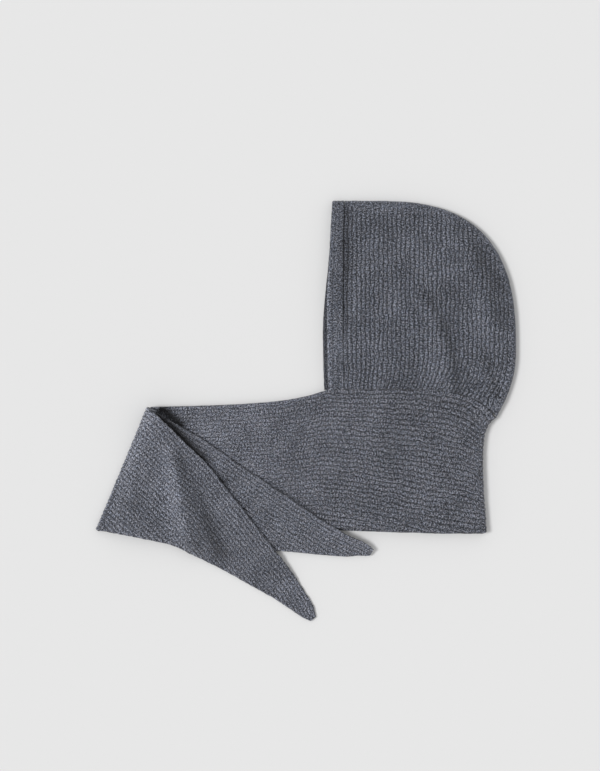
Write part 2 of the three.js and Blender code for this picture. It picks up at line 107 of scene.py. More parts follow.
paintedShade = {  # lines of painted shade in the knit's colour, along folds, beside the band and in the corner's pockets: the line, half the width and how dark, or below 0 how much painted light
    "hood": [
        {"line": [(22, 224), (21.5, 150)], "width": 8.5, "dark": 0.38},
        {"line": [(21.5, 150), (20.5, 80)], "width": 7, "dark": 0.26},
        {"line": [(187, 176), (213, 124), (218, 84)], "width": 12, "dark": 0.27},
        {"line": [(196, 36), (212, -18)], "width": 8, "dark": 0.27},
        {"line": [(120, 117), (137, 91), (152, 58), (161, 0)], "width": 8.5, "dark": 0.24},
        {"line": [(127, 199), (146, 149), (186, 111), (198, 74)], "width": 9, "dark": -0.12},
        {"line": [(90, 99), (121, 49), (132, 12)], "width": 10, "dark": -0.13},
        {"line": [(52, 50), (60, 6)], "width": 17, "dark": -0.09},
    ],
    "rightTail": [
        {"line": [(-184, -92), (-164, -122), (-153, -162), (-136, -202)], "width": 9.5, "dark": 0.3},
        {"line": [(-153, -160), (-134, -202)], "width": 9.5, "dark": 0.32},
        {"line": [(-204, -98), (-197, -138), (-189, -184)], "width": 12, "dark": -0.34},
        {"line": [(-233, -85), (-240, -150)], "width": 14, "dark": 0.1},
        {"line": [(-219, -32), (-282, -164)], "width": 9, "dark": -0.24},
        {"line": [(-50, -240), (-24, -280)], "width": 14, "dark": -0.18},
    ],
    "side": [
        {"line": [(-216, -23), (-205, -26), (-194, -35), (-184, -44)], "width": 7, "dark": 0.92},
        {"line": [(-180, -52), (-20, -150)], "width": 1.6, "dark": 0.3},
    ],
    "leftTail": [
        {"line": [(-212, -34), (-188, -55), (-172, -71), (-159, -87)], "width": 9, "dark": 0.93},
        {"line": [(-159, -87), (-147, -101), (-132, -118)], "width": 6, "dark": 0.76},
        {"line": [(-124, -127), (-86, -178)], "width": 2.4, "dark": 0.5},
    ],
}
band = {"reach": 18.6, "topReach": 15.6, "narrowsFrom": 110, "groove": 0.06}
collar = {
    "depth": 196.5,
    "height": 180.0,
    "napeFlare": 14.0,
    "flareHeight": 12.0,
    "waist": 5.0,
    "waistRise": 0.7,
    "shapeFade": 8,
    "hemCorner": 5.0,
    "napeDrop": 34.0,
    "napeDropPower": 7,
    "loft": 5.0,
    "bottomSwing": (0.1, 0.45),
    "throatDrop": 19.0,
    "throatLength": 48.0,
    "edgeFall": 0.015,
    "ribs": 26,
    "throatBlend": (-10, 35),  # x where the loft of the collar begins
    "neckBlend": (-31, 43),  # y where the collar's loft turns into the hood's
    "wrinkleFade": (-150, -60),
}
tails = {
    "width": 148.5,
    "ribs": 31,
    "loft": 0.9,
    "foldLoft": 1.8,
    "cornerSpread": 45.0,
    "drape": 42.0,  # length of a slope down off an edge
}
folds = {
    "right": {"reach": 224.0, "lean": 22.8, "heading": 50.0, "length": 335.0, "slip": 0.0, "loft": 7.5},
    "left": {"reach": 216.0, "lean": 14.2, "heading": 31.7, "length": 324.0, "slip": 5.0, "loft": 7.5},
}
tailShape = {  # both edges of a tail as shares of its width, at shares of its length
    "along": [0, 0.06, 0.2, 0.3, 0.42, 0.55, 0.68, 0.8, 0.9, 0.96, 1],
    "rightInner": [0, -0.024, -0.048, -0.072, -0.066, -0.057, -0.045, -0.035, -0.008, 0.013, 0.055],
    "rightOuter": [1, 0.907, 0.708, 0.581, 0.49, 0.395, 0.309, 0.229, 0.177, 0.148, 0.115],
    "leftInner": [0, -0.004, -0.012, -0.004, 0.011, 0.019, 0.031, 0.038, 0.026, 0.01, 0.02],
    "leftOuter": [1, 0.955, 0.85, 0.765, 0.66, 0.54, 0.415, 0.305, 0.208, 0.132, 0.085],
}
ribDepths = {
    "hood": 1.0,
    "crown": 0.35,
    "crownFade": (22, 4),  # below the crown
    "side": 0.66,
    "collar": 0.86,
    "collarFrom": (-60, 30),
    "tail": 0.78,
    "seam": 0.35,
    "band": 0.45,
}
# painted light in the knit's colour: one yarn throughout, painted lighter on the scarf's front side and on
# its tails, where their nap and folds face the light, and a touch darker on the collar
paintedLight = {
    "side": 1.22,
    "collar": 0.98,
    "collarFrom": (-110, 10),
    "rightTip": 1.09,
    "rightFold": 1.29,
    "rightFoldFrom": (-200, -100),
    "leftTail": 1.2,
}
grid = {"step": 1.5, "from": -310, "to": 260}  # on which the layers are read
half = knit["thickness"] / 2
napeX = collar["depth"] + collar["napeFlare"]
origin = Vector((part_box("crown_seam")[1].x - hood["depth"] / 1000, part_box("scarf")[1].y, 0))
print("face edge and neck seam meet at", tuple(origin))


def mix(a, b, t):
    return a + (b - a) * t


def ramp(at, low, high):
    t = np.clip((np.asarray(at, float) - low) / (high - low), 0, 1)
    return t * t * (3 - 2 * t)


dice = np.random.default_rng(8).uniform(-1, 1, (64, 512))


def lumps(rib, row):  # soft unevenness from -1 to 1, one value to each rib and stitch
    i, j = np.floor(rib).astype(int), np.floor(row).astype(int)
    u, v = ramp(rib - i, 0, 1), ramp(row - j, 0, 1)
    ribs, rows = dice.shape
    near = mix(dice[i % ribs, j % rows], dice[(i + 1) % ribs, j % rows], u)
    far = mix(dice[i % ribs, (j + 1) % rows], dice[(i + 1) % ribs, (j + 1) % rows], u)
    return mix(near, far, v)


def awayFrom(line, x, y):  # distance to a line of points
    nearest = np.full(np.broadcast(x, y).shape, 1e9)
    for a, b in zip(line[:-1], line[1:]):
        runX, runY = b[0] - a[0], b[1] - a[1]
        length = runX**2 + runY**2 or 1
        t = np.clip(((x - a[0]) * runX + (y - a[1]) * runY) / length, 0, 1)
        nearest = np.minimum(nearest, np.hypot(x - a[0] - t * runX, y - a[1] - t * runY))
    return nearest


def wrinkled(wrinkles, x, y):
    height = np.zeros(np.broadcast(x, y).shape)
    for wrinkle in wrinkles:
        away = awayFrom(wrinkle["line"], x, y) / wrinkle["width"]
        height += wrinkle["height"] * np.exp(-(away**2))
    return height


# painted shade and painted light along the listed lines, as a factor on the knit's colour
def shaded(name, x, y):
    light = np.ones(np.broadcast(x, y).shape)
    for hollow in paintedShade[name]:
        away = awayFrom(hollow["line"], x, y) / hollow["width"]
        light = light * (1 - hollow["dark"] * np.exp(-(away**2)))
    return light


def sampled(layer):  # a layer read from a grid, which is much quicker
    step = grid["step"]
    places = np.arange(grid["from"], grid["to"], step)
    values = layer(*np.meshgrid(places, places, indexing="ij"))

    def read(x, y):
        i = np.clip((np.asarray(x, float) - places[0]) / step, 0, len(places) - 1.01)
        j = np.clip((np.asarray(y, float) - places[0]) / step, 0, len(places) - 1.01)
        left, low = i.astype(int), j.astype(int)
        near = mix(values[left, low], values[left + 1, low], i - left)
        far = mix(values[left, low + 1], values[left + 1, low + 1], i - left)
        return mix(near, far, j - low)

    return read


# plan of the hood
def faceEdge(y):
    start = hood["faceBowStart"] * hood["height"]
    return hood["faceBow"] * ((y - start) / (hood["height"] - start)) ** 2


def farFaceEdge(y):
    return faceEdge(y) - hood["farShift"] * (1 - ramp(y / hood["height"], *hood["farHides"]))


def bandReach(y):
    return mix(band["reach"], band["topReach"], ramp(y, band["narrowsFrom"], hood["height"]))


def neckEdge(x):
    x = np.asarray(x, float)
    seam = -collar["napeDrop"] * (np.maximum(x, 0) / napeX) ** collar["napeDropPower"]
    front = np.minimum(x, 0)
    free = collar["edgeFall"] * front - collar["throatDrop"] * (1 - np.exp(front / collar["throatLength"]))
    return np.where(x > 0, seam, free)


def backEdge(rise, inset):
    tuck = (hood["depth"] - napeX) * (1 - rise) ** hood["backTuck"]
    start = neckEdge(napeX - inset) + knit["sewnGap"]
    return hood["depth"] - inset - tuck, mix(start, hood["backLevel"], rise)


def crownEdge(turn, inset):
    angle = turn * math.pi / 2
    power = 2 / hood["fullness"]
    reach = (hood["depth"] - hood["crownStart"] - inset) * np.maximum(0, np.cos(angle)) ** power
    rise = (hood["height"] - hood["backLevel"] - inset) * np.sin(angle) ** power
    return hood["crownStart"] + reach, hood["backLevel"] + rise


def nearOutline(x, y):  # 0 in the middle of the hood, 1 on its outline
    level, full = hood["backLevel"], hood["fullness"]
    low = np.clip((level - y) / (level + collar["napeDrop"]), 0, 1)
    back = hood["depth"] - (hood["depth"] - napeX) * low ** hood["backTuck"]
    reach = np.maximum(0, x - hood["crownStart"]) / (back - hood["crownStart"])
    rise = np.maximum(0, y - level) / (hood["height"] - level)
    return (reach**full + rise**full) ** (1 / full)


# plan of the scarf
def scarfSide(name):
    side = dict(folds[name], name=name)
    lean, heading = math.radians(side["lean"]), math.radians(side["heading"])
    side["corner"] = np.array([-side["reach"], float(neckEdge(-side["reach"]))])
    side["crease"] = np.array([-math.sin(lean), -math.cos(lean)])
    side["outward"] = np.array([-math.cos(lean), math.sin(lean)])
    side["tail"] = np.array([math.cos(heading), -math.sin(heading)])
    side["across"] = np.array([side["tail"][1], -side["tail"][0]])
    side["creaseLength"] = tails["width"] / side["crease"].dot(side["across"])
    side["foot"] = side["corner"] + side["crease"] * side["creaseLength"]
    return side


right = scarfSide("right")
left = scarfSide("left")


def sidePoint(side, along, down):  # centre back 0 to crease 1, upper edge 0 to bottom edge 1
    nearBack = (1 - along) ** collar["shapeFade"]
    flare = collar["napeFlare"] * nearBack
    waist = collar["waist"] * nearBack * np.sin(math.pi * down ** collar["waistRise"])
    intoCorner = np.clip(1 - (1 - down) * collar["height"] / collar["hemCorner"], 0, 1)
    corner = collar["hemCorner"] * nearBack * (1 - np.sqrt(1 - intoCorner**2))
    topX = mix(collar["depth"], side["corner"][0], along)
    bottomX = mix(collar["depth"], side["foot"][0], along)
    bottomY = mix(-collar["height"], side["foot"][1], ramp(along, *collar["bottomSwing"]))
    fade = np.exp(-down * collar["height"] / collar["flareHeight"])
    x = mix(topX, bottomX, down) + flare * fade - waist - corner
    return x, mix(neckEdge(topX + flare), bottomY, down)


def shapeShare(edge, at):  # a smooth curve through the rows of tailShape
    along, share = np.array(tailShape["along"]), np.array(tailShape[edge])
    slope = np.empty(len(along))
    slope[1:-1] = (share[2:] - share[:-2]) / (along[2:] - along[:-2])
    slope[0], slope[-1] = (share[1] - share[0]) / along[1], (share[-1] - share[-2]) / (1 - along[-2])
    i = np.clip(np.searchsorted(along, at, side="right") - 1, 0, len(along) - 2)
    span = along[i + 1] - along[i]
    t = (at - along[i]) / span
    straight = mix(share[i], share[i + 1], t * t * (3 - 2 * t))
    return straight + t * (1 - t) ** 2 * span * slope[i] + t * t * (t - 1) * span * slope[i + 1]


def tailEdge(side, edge, along, distance):
    start = side["corner"] + side["crease"] * side["slip"]
    aside = tails["width"] * shapeShare(side["name"] + edge, along)
    return [start[i] + side["tail"][i] * distance + side["across"][i] * aside for i in (0, 1)]


def tailPoint(side, along, down):  # crease 0 to tip 1, inner edge 0 to outer edge 1
    footReach = side["creaseLength"] * side["crease"].dot(side["tail"])
    inner = tailEdge(side, "Inner", along, along * side["length"])
    outer = tailEdge(side, "Outer", along, mix(footReach, side["length"], along))
    return [mix(inner[i], outer[i], down) for i in (0, 1)]


def tailRibs(side, along):
    width = shapeShare(side["name"] + "Outer", along) - shapeShare(side["name"] + "Inner", along)
    return max(1.0, tails["ribs"] * float(width))


def coverOf(point, side):  # 1 over a layer, falling to 0 beside it
    share = np.linspace(0, 1, 25)
    top, bottom = np.stack(point(side, share, 0), 1), np.stack(point(side, share, 1), 1)
    outline = np.concatenate([top, bottom[::-1], top[:1]])

    def cover(x, y):
        inside = np.zeros(x.shape, bool)
        for a, b in zip(outline[:-1], outline[1:]):
            if a[1] != b[1]:
                crossing = a[0] + (y - a[1]) * (b[0] - a[0]) / (b[1] - a[1])
                inside ^= ((a[1] > y) != (b[1] > y)) & (x < crossing)
        beside = 1 - ramp(awayFrom(outline, x, y), knit["edgeRound"], tails["drape"])
        return np.where(inside, 1, beside)

    return sampled(cover)


overRight = coverOf(sidePoint, right)
overLeft = coverOf(sidePoint, left)
overLeftTail = coverOf(tailPoint, left)


# heights of the middle of each layer above the floor
def lowerLayer(x, y):
    return np.full(np.broadcast(x, y).shape, half)


@sampled
def upperLayer(x, y):
    dome = 1 - np.minimum(1, nearOutline(x, y)) ** hood["domeFlatness"]
    loft = hood["loft"]
    for dent in dents:
        away = ((x - dent["x"]) ** 2 + (y - dent["y"]) ** 2) / dent["radius"] ** 2
        loft = loft - dent["depth"] * np.exp(-away)
    inHood = mix(tails["loft"], mix(hood["crownLoft"], loft, dome), ramp(x, *hood["faceBlend"]))
    inCollar = mix(tails["loft"], collar["loft"], ramp(x, *collar["throatBlend"]))
    wrinkles = wrinkled(upperWrinkles, x, y) * ramp(x, *collar["wrinkleFade"])
    return knit["thickness"] + mix(inCollar, inHood, ramp(y, *collar["neckBlend"])) + wrinkles + half


def restOn(layers, side, foldsOver, x, y):
    corner, outward = side["corner"], side["outward"]
    behind = -((x - corner[0]) * outward[0] + (y - corner[1]) * outward[1])
    nearCrease = 1 - ramp(behind, 0, tails["drape"])
    fromCorner = np.hypot(x - corner[0], y - corner[1])
    opened = side["loft"] * np.exp(-((fromCorner / tails["cornerSpread"]) ** 2))
    height = np.zeros(x.shape)
    for i, (top, cover) in enumerate(layers):
        gap = mix(knit["layGap"], tails["foldLoft"], nearCrease) if i == foldsOver else knit["layGap"]
        height = np.maximum(height, cover * (top + gap))
    return height + opened + half


@sampled
def leftTailLayer(x, y):
    layers = [(knit["thickness"], overRight(x, y)), (upperLayer(x, y) + half, overLeft(x, y))]
    return restOn(layers, left, 1, x, y)


@sampled
def rightTailLayer(x, y):
    layers = [
        (knit["thickness"], overRight(x, y)),
        (upperLayer(x, y) + half, overLeft(x, y)),
        (leftTailLayer(x, y) + half, overLeftTail(x, y)),
    ]
    return restOn(layers, right, 0, x, y) + wrinkled(tailWrinkles, x, y)


# how deep the ribs are, and the painted light and painted shade in the knit's colour, by place
def hoodRibbing(x, y):
    low, high = [hood["height"] - below for below in ribDepths["crownFade"]]
    return mix(ribDepths["hood"], ribDepths["crown"], ramp(y, low, high))


def collarRibbing(x, y):
    return mix(ribDepths["side"], ribDepths["collar"], ramp(x, *ribDepths["collarFrom"]))


def hoodPaintedLight(x, y):
    return shaded("hood", x, y)


def collarPaintedLight(x, y):
    light = mix(paintedLight["side"], paintedLight["collar"], ramp(x, *paintedLight["collarFrom"]))
    return light * shaded("side", x, y)


def rightTailPaintedLight(x, y):
    light = mix(paintedLight["rightTip"], paintedLight["rightFold"], ramp(y, *paintedLight["rightFoldFrom"]))
    return light * shaded("rightTail", x, y)


def leftTailPaintedLight(x, y):
    return paintedLight["leftTail"] * shaded("leftTail", x, y)


def tailRibbing(x, y):
    return np.full(np.shape(x), ribDepths["tail"])


# rows of knit: each gives the middle of the cloth and its outer direction across the ribs
def laidRow(point, layer, facing, ribs, length, **more):
    def place(across):
        x, y = point(across)
        step = grid["step"]
        slopeX = (layer(x + step, y) - layer(x - step, y)) / (2 * step)
        slopeY = (layer(x, y + step) - layer(x, y - step)) / (2 * step)
        outer = np.stack([-slopeX, -slopeY, np.ones(x.shape)], 1)
        outer *= facing / np.linalg.norm(outer, axis=1)[:, None]
        return np.stack([x, y, layer(x, y)], 1), outer

    return dict(more, place=place, ribs=ribs, length=length)


def foldRow(point, outward, low, high, turn, facing, ribs, length, **more):
    def place(across):
        angle = math.radians(turn)
        x, y = point(across)
        bottom = low(x, y)
        radius = (high(x, y) - bottom) / 2
        back = radius * (math.sin(angle) - 1)
        middle = [x + outward[0] * back, y + outward[1] * back, bottom + radius * (1 - math.cos(angle))]
        outer = np.array([outward[0] * math.sin(angle), outward[1] * math.sin(angle), -math.cos(angle)])
        return np.stack(middle, 1), np.tile(outer * facing, (len(x), 1))

    return dict(more, place=place, ribs=ribs, length=length)


def ribStops(ribs, regular):  # places across a row, in ribs, close together at both edges
    edge, first = np.array(knit["edgeStops"]), knit["innerFrom"]
    inner = np.clip(regular, first, max(ribs - first, first + 0.01))
    return np.concatenate([edge, inner, ribs - edge[::-1]])


def shapeGrid(name, points, uvs, looks):  # a grid primitive moved to rows of points and closed
    rows, columns = points.shape[:2]
    bpy.ops.mesh.primitive_grid_add(x_subdivisions=columns - 1, y_subdivisions=rows - 1, size=1)
    piece = bpy.context.object
    piece.name = piece.data.name = name
    mesh = piece.data
    points[..., 2] = np.maximum(points[..., 2], 0)  # pressed flat on the floor
    place = points.reshape(-1, 3) / 1000 + np.array(origin)
    mesh.vertices.foreach_set("co", place.ravel())
    # rib depth, and the painted light and painted shade by which the knit's colour is multiplied
    for look, values in zip(("ribDepth", "lift"), np.moveaxis(looks, -1, 0)):
        mesh.attributes.new(look, "FLOAT", "POINT").data.foreach_set("value", values.ravel())
    corners = np.empty(len(mesh.loops), np.int32)
    mesh.loops.foreach_get("vertex_index", corners)
    mesh.uv_layers.active.data.foreach_set("uv", uvs.reshape(-1, 2)[corners].ravel())
    mesh.uv_layers.active.name = "ribs"
    mesh.update()
    bpy.ops.object.mode_set(mode="EDIT")
    bpy.ops.mesh.select_all(action="SELECT")
    bpy.ops.mesh.remove_doubles(threshold=0.00001)
    bpy.ops.mesh.dissolve_degenerate(threshold=0.000005)
    bpy.ops.mesh.normals_make_consistent(inside=False)
    bpy.ops.object.mode_set(mode="OBJECT")
    bpy.ops.object.shade_smooth()
    piece.select_set(False)
    print(name, len(mesh.vertices), "vertices", len(mesh.polygons), "faces")
    return piece


def crestOf(rib):
    return np.abs(np.sin(math.pi * rib)) ** knit["crestPower"] - knit["crestDrop"]


def knitSheet(name, rows, maxRibs, outerFine, innerFine, seed):
    points, uvs, looks = [], [], []
    for k, row in enumerate(rows):
        ribs = row["ribs"]
        closed = k in (0, len(rows) - 1)
        course = row["length"] / knit["stitch"]
        roundings, roughness = row.get("round", (1, 1)), row.get("rough", (0.3, 0.3))
        wanders, knotted = [np.array(knit[grain]) for grain in ("wanderGrain", "knotGrain")]
        line, mapped, looked = [], [], []
        for sign, fine, face in ((1, outerFine, "outer"), (-1, innerFine, "inner")):
            regular = np.arange(0, maxRibs * fine + 1) / fine
            shown = row.get("shown", "outer") in (face, "both")
            coarse = min(outerFine, innerFine) if closed else fine if shown else 1
            regular = np.round(regular * coarse) / coarse
            stops = ribStops(ribs, regular)
            middle, outer = row["place"](stops / ribs)
            width = np.linalg.norm(middle[-1] - middle[0])
            sideways = (middle[-1] - middle[0]) / width
            full = np.ones(len(stops))
            for end, fromEnd in enumerate((stops, ribs - stops)):
                rounding = max(knit["edgeRound"] * roundings[end], 0.01)
                into = 1 - np.clip(fromEnd * width / ribs / rounding, 0, 1)
                full *= np.sqrt(1 - into**2)
                jitter = roughness[end] * lumps(np.array(seed + 7.5 * end), np.array(course))
                middle = middle + np.outer(jitter * np.exp(-2 * fromEnd), sideways) * (1 - 2 * end)
            if closed:
                full[:] = 0
            strength = row["ribbing"](middle[:, 0], middle[:, 1]) if "ribbing" in row else 0.5
            flat = np.zeros(len(stops))
            wander = knit["wander"] * lumps(stops * wanders[0] + seed, course * wanders[1] + flat)
            uneven = 1 + knit["uneven"] * lumps(stops + seed + 0.5, course + flat)
            crest = crestOf(stops + wander) * uneven
            knots = knit["knots"] * lumps(stops * knotted[0] + seed + 20, course * knotted[1] + flat)
            relief = knit["relief"] * (crest * strength + knots) if shown else 0
            placed = middle + outer * (sign * (half + relief) * full)[:, None]
            # painted light and painted shade of this place
            lift = row["lift"](middle[:, 0], middle[:, 1]) if "lift" in row else flat + 1
            line.append(placed[::sign])
            mapped.append(np.stack([stops + wander, row["length"] + flat], 1)[::sign])
            looked.append(np.stack([strength + flat, lift], 1)[::sign])
        points.append(np.concatenate(line))
        uvs.append(np.concatenate(mapped))
        looks.append(np.concatenate(looked))
    return shapeGrid(name, np.array(points), np.array(uvs), np.array(looks))


# the hood's panels
panel = {
    "lowest": (0, 0.003, 0.008, 0.02),  # first rows, as shares of the rise to the back level
    "evenFrom": 0.04,
    "turn": 0.86,  # where the rows begin to follow the top of the crown
    "faceRound": (0.15, 0.5),  # of the edge beside the band, low and high up
    "faceRoundFrom": (30, 90),
    "rows": (30, 102, 32),
    "farRows": (16, 36, 20),
    "columns": 8,  # to each rib
    "farColumns": 4,
    "seed": 3,
    "farSeed": 5,
}


def panelRows(faceLine, layer, facing, lowerCount, upperCount, topCount):
    inset = hood["seamDepth"]
    fromFace = band["reach"] + band["groove"]
    fullWidth = hood["depth"] - inset - fromFace
    sewn = knit["sewnRound"] / knit["edgeRound"]

    def row(bottom, endX, width):
        def point(across):
            y = bottom(mix(fromFace, endX, across))
            return mix(faceLine(y) + bandReach(y) + band["groove"], endX, across), y

        middle = float(bottom(np.array([(fromFace + endX) / 2]))[0])
        ribs = hood["ribs"] * (width - fromFace) / fullWidth
        faceRound = mix(*panel["faceRound"], float(ramp(middle, *panel["faceRoundFrom"])))
        return laidRow(point, layer, facing, ribs, middle, ribbing=hoodRibbing, lift=hoodPaintedLight,
                       rough=(0, 0), round=(faceRound, sewn))

    rows = []
    for rise in np.concatenate([panel["lowest"], np.linspace(panel["evenFrom"], 1, lowerCount)]):
        endX, _ = backEdge(rise, inset)

        def slanted(x, rise=rise, endX=endX):
            seam = neckEdge(x * (napeX - inset) / endX) + knit["sewnGap"]
            return mix(seam, hood["backLevel"], rise)

        rows.append(row(slanted, endX, fullWidth + fromFace))
    reach = hood["depth"] - hood["crownStart"] - inset
    climb = hood["height"] - hood["backLevel"] - inset
    full, turn = hood["fullness"], panel["turn"]

    def other(share):  # the other coordinate of the crown's curve
        return (1 - share**full) ** (1 / full)

    levels = [(share, other(share)) for share in np.linspace(0, turn, upperCount)[1:]]
    levels += [(other(share), share) for share in np.linspace(other(turn), 0, topCount)[1:]]
    for rise, share in levels:
        endX = hood["crownStart"] + reach * share

        def level(x, y=hood["backLevel"] + climb * rise):
            return np.full(x.shape, y)

        rows.append(row(level, endX, endX))
    return rows


nearRows = panelRows(faceEdge, upperLayer, 1, *panel["rows"])
hoodLeft = knitSheet("hoodPanelLeft", nearRows, hood["ribs"], panel["columns"], 1, panel["seed"])
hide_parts("hood_panel_left")
farRows = panelRows(farFaceEdge, lowerLayer, -1, *panel["farRows"])
hoodRight = knitSheet("hoodPanelRight", farRows, hood["ribs"], panel["farColumns"], 1, panel["farSeed"])
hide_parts("hood_panel_right")


# the seam over the crown and down the back, as high as both panels
crown = {
    "topSteps": 40,
    "crownSteps": 170,
    "backSteps": 60,
    "sides": 14,
    "tuck": 0.6,
    "uneven": 0.45,
    "unevenAside": 0.6,  # share of it that goes sideways
    "knot": 3.4,
    "ribsToSide": 0.16,
}


def crownSeam():
    fromFace = band["reach"] + band["groove"]
    start = bandReach(hood["height"]) + band["groove"] + faceEdge(hood["height"])
    pitch = (hood["depth"] - hood["seamDepth"] - fromFace) / hood["ribs"]
    rings, uvs = [], []
    steps = [("top", i / crown["topSteps"]) for i in range(crown["topSteps"])]
    steps += [("crown", i / crown["crownSteps"]) for i in range(crown["crownSteps"])]
    steps += [("back", i / crown["backSteps"]) for i in range(crown["backSteps"] + 1)]
    depth = hood["seamDepth"] + crown["tuck"]
    travelled, previous = 0, None
    for part, share in steps:
        def edge(inset, part=part, share=share):
            if part == "top":
                return mix(start, hood["crownStart"], share), hood["height"] - inset
            return crownEdge(1 - share, inset) if part == "crown" else backEdge(1 - share, inset)

        inner = edge(hood["seamDepth"])
        rib = (inner[0] - fromFace) / pitch
        height = float(upperLayer(inner[0], inner[1])) + half
        outline = edge(0)
        if previous:
            travelled += math.dist(previous, outline)
        previous = outline
        uneven = crown["uneven"] * lumps(np.array([3.5]), np.array([travelled / crown["knot"]]))[0]
        ring, mapped = [], []
        for i in range(crown["sides"] + 1):
            angle = math.pi * (i / crown["sides"] - 0.5)
            aside = uneven * crown["unevenAside"] * math.cos(angle)
            x, y = edge(depth * (1 - math.cos(angle)) + aside)
            fade = max(0, math.sin(angle)) ** 0.5
            ring.append([x, y, height / 2 * (1 + math.sin(angle)) + uneven * fade])
            mapped.append([i * crown["ribsToSide"], travelled])
        ring.append(ring[0])
        mapped.append(mapped[0])
        rings.append(ring)
        uvs.append(mapped)
    return tube("crownSeam", rings, uvs, ribDepths["seam"], [[1.0] * len(ring) for ring in rings])


def tube(name, rings, uvs, ribbing, paintedLights):  # the ends close on their own middle
    rings = np.array(rings)
    first, last = [rings[end].mean(0, keepdims=True).repeat(rings.shape[1], 0)[None] for end in (0, -1)]
    rings = np.concatenate([first, rings, last])
    uvs = np.array([uvs[0]] + uvs + [uvs[-1]])
    paintedLights = np.array([paintedLights[0]] + paintedLights + [paintedLights[-1]])
    return shapeGrid(name, rings, uvs, np.stack([np.full(paintedLights.shape, ribbing), paintedLights], -1))


seam = crownSeam()
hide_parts("crown_seam")


# the face band, a hem that runs up the far side, over the top and down the near side
hem = {
    "thickness": 4.2,
    "ribs": 3,
    "relief": 0.4,
    "ribsFrom": (0.12, 0.22),  # shares of the reach, counted from the rim
    "rimSteps": 13,
    "flatTo": 0.94,
    "flatSteps": 22,
    "thinsTo": [(0.97, 0.9), (1.0, 0.6)],  # shares of the reach and of the thickness
    "levels": 130,
    "turnSteps": 14,
    "uneven": 0.3,
    "knot": 3.3,
    "lowEnd": (120, 170),
    "rimRoll": 1.3,
    # painted light on the near rim low down, painted shade on the far side low down and beside the seam
    # higher up
    "rim": (0.04, 0.17),
    "rimLight": 0.75,
    "farLight": 0.6,
    "seam": (0.62, 1.0),
    "seamFrom": (70, 130),
    "seamShade": 0.38,
}


def faceBand():
    halfBand = hem["thickness"] / 2

    def near(y):
        return float(upperLayer(faceEdge(y) + bandReach(y) / 2, y))

    radius = (near(hood["height"]) - halfBand) / 2
    turnLevel = hood["height"] - radius - halfBand
    section = []
    for angle in np.linspace(-math.pi / 2, math.pi / 2, hem["rimSteps"]):
        section.append((halfBand * (1 - math.cos(angle)) / band["reach"], halfBand * math.sin(angle), 0))
    flat = np.linspace(halfBand / band["reach"], hem["flatTo"], hem["flatSteps"])[1:]
    section += [(at, halfBand, float(ramp(at, *hem["ribsFrom"]))) for at in flat]
    thinned = [(at, halfBand * share, 0) for at, share in hem["thinsTo"]]
    section += thinned + [(at, -off, 0) for at, off, _ in thinned[::-1]]
    section += [(at, -halfBand, 0) for at in flat[::-3]]
    section.append(section[0])
    levels = np.linspace(knit["sewnGap"] - 1, turnLevel, hem["levels"])
    path = [(farFaceEdge(y), y, halfBand, 0) for y in levels[:-1]]
    for angle in np.linspace(0, math.pi, hem["turnSteps"]):
        lift = radius * (1 - math.cos(angle))
        path.append((faceEdge(turnLevel), turnLevel + radius * math.sin(angle), halfBand + lift, angle))
    path += [(faceEdge(y), y, near(y), math.pi) for y in levels[-2::-1]]
    rings, uvs, paintedLights = [], [], []
    travelled = 0
    for k, (x, y, z, angle) in enumerate(path):
        isNear, lowEnd = angle / math.pi, float(1 - ramp(y, *hem["lowEnd"]))
        nearLow = isNear * lowEnd
        if k:
            travelled += math.dist(path[k - 1][:3], (x, y, z))
        ring, light = [], []
        for across, off, shown in section:
            rib = np.array([across * hem["ribs"]])
            uneven = crestOf(rib) + lumps(rib * 1.5 + 30, np.array([travelled / knit["stitch"]]))
            raised = off + hem["relief"] * shown * float(uneven[0])
            knots = lumps(np.array([40.5 + 9 * round(across)]), np.array([travelled / hem["knot"]]))
            edge = hem["uneven"] * (1 - across) * float(knots[0])
            aside = x + edge + across * bandReach(y) - nearLow * hem["rimRoll"] * (1 - across)
            ring.append((aside, y + raised * math.sin(angle), z - raised * math.cos(angle)))
            # painted light on the near rim, painted shade beside the seam and on the far side
            atRim = 1 - float(ramp(across, *hem["rim"]))
            atSeam = float(ramp(across, *hem["seam"])) * float(ramp(y, *hem["seamFrom"]))
            nearLight = (1 + hem["rimLight"] * lowEnd * atRim) * (1 - hem["seamShade"] * atSeam)
            light.append(mix(mix(1, hem["farLight"], lowEnd), nearLight, isNear))
        rings.append(ring)
        uvs.append([(across * hem["ribs"], travelled) for across, _, _ in section])
        paintedLights.append(light)
    return tube("faceBand", rings, uvs, ribDepths["band"], paintedLights)


faceHem = faceBand()
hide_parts("face_band")


# the scarf, one strip from the tip of the right tail to the tip of the left one
strip = {
    "rightTail": 190,  # rows of each stretch
    "side": 196,
    "leftTail": 150,
    "hidden": 30,
    "fold": 11,
    "foldLength": 15,
    "first": 0.012,  # shares of the way at which the rows of a stretch begin and end
    "lastNear": 0.985,
    "lastFar": 0.994,
    "tipRows": (3.5, 2, 1, 0.5, 0.2, 0),  # distances from a tail's tip
    "sewnRound": (0.17, 0.6),  # of the edge under the hood and at the nape
    "napeFrom": (150, 180),
    "sewnFrom": (-4, 1),
    "rough": {"free": 0.3, "sewn": 0.05, "hem": 0.35, "tail": 0.5},
    "columns": 6,
    "seed": 11,
}


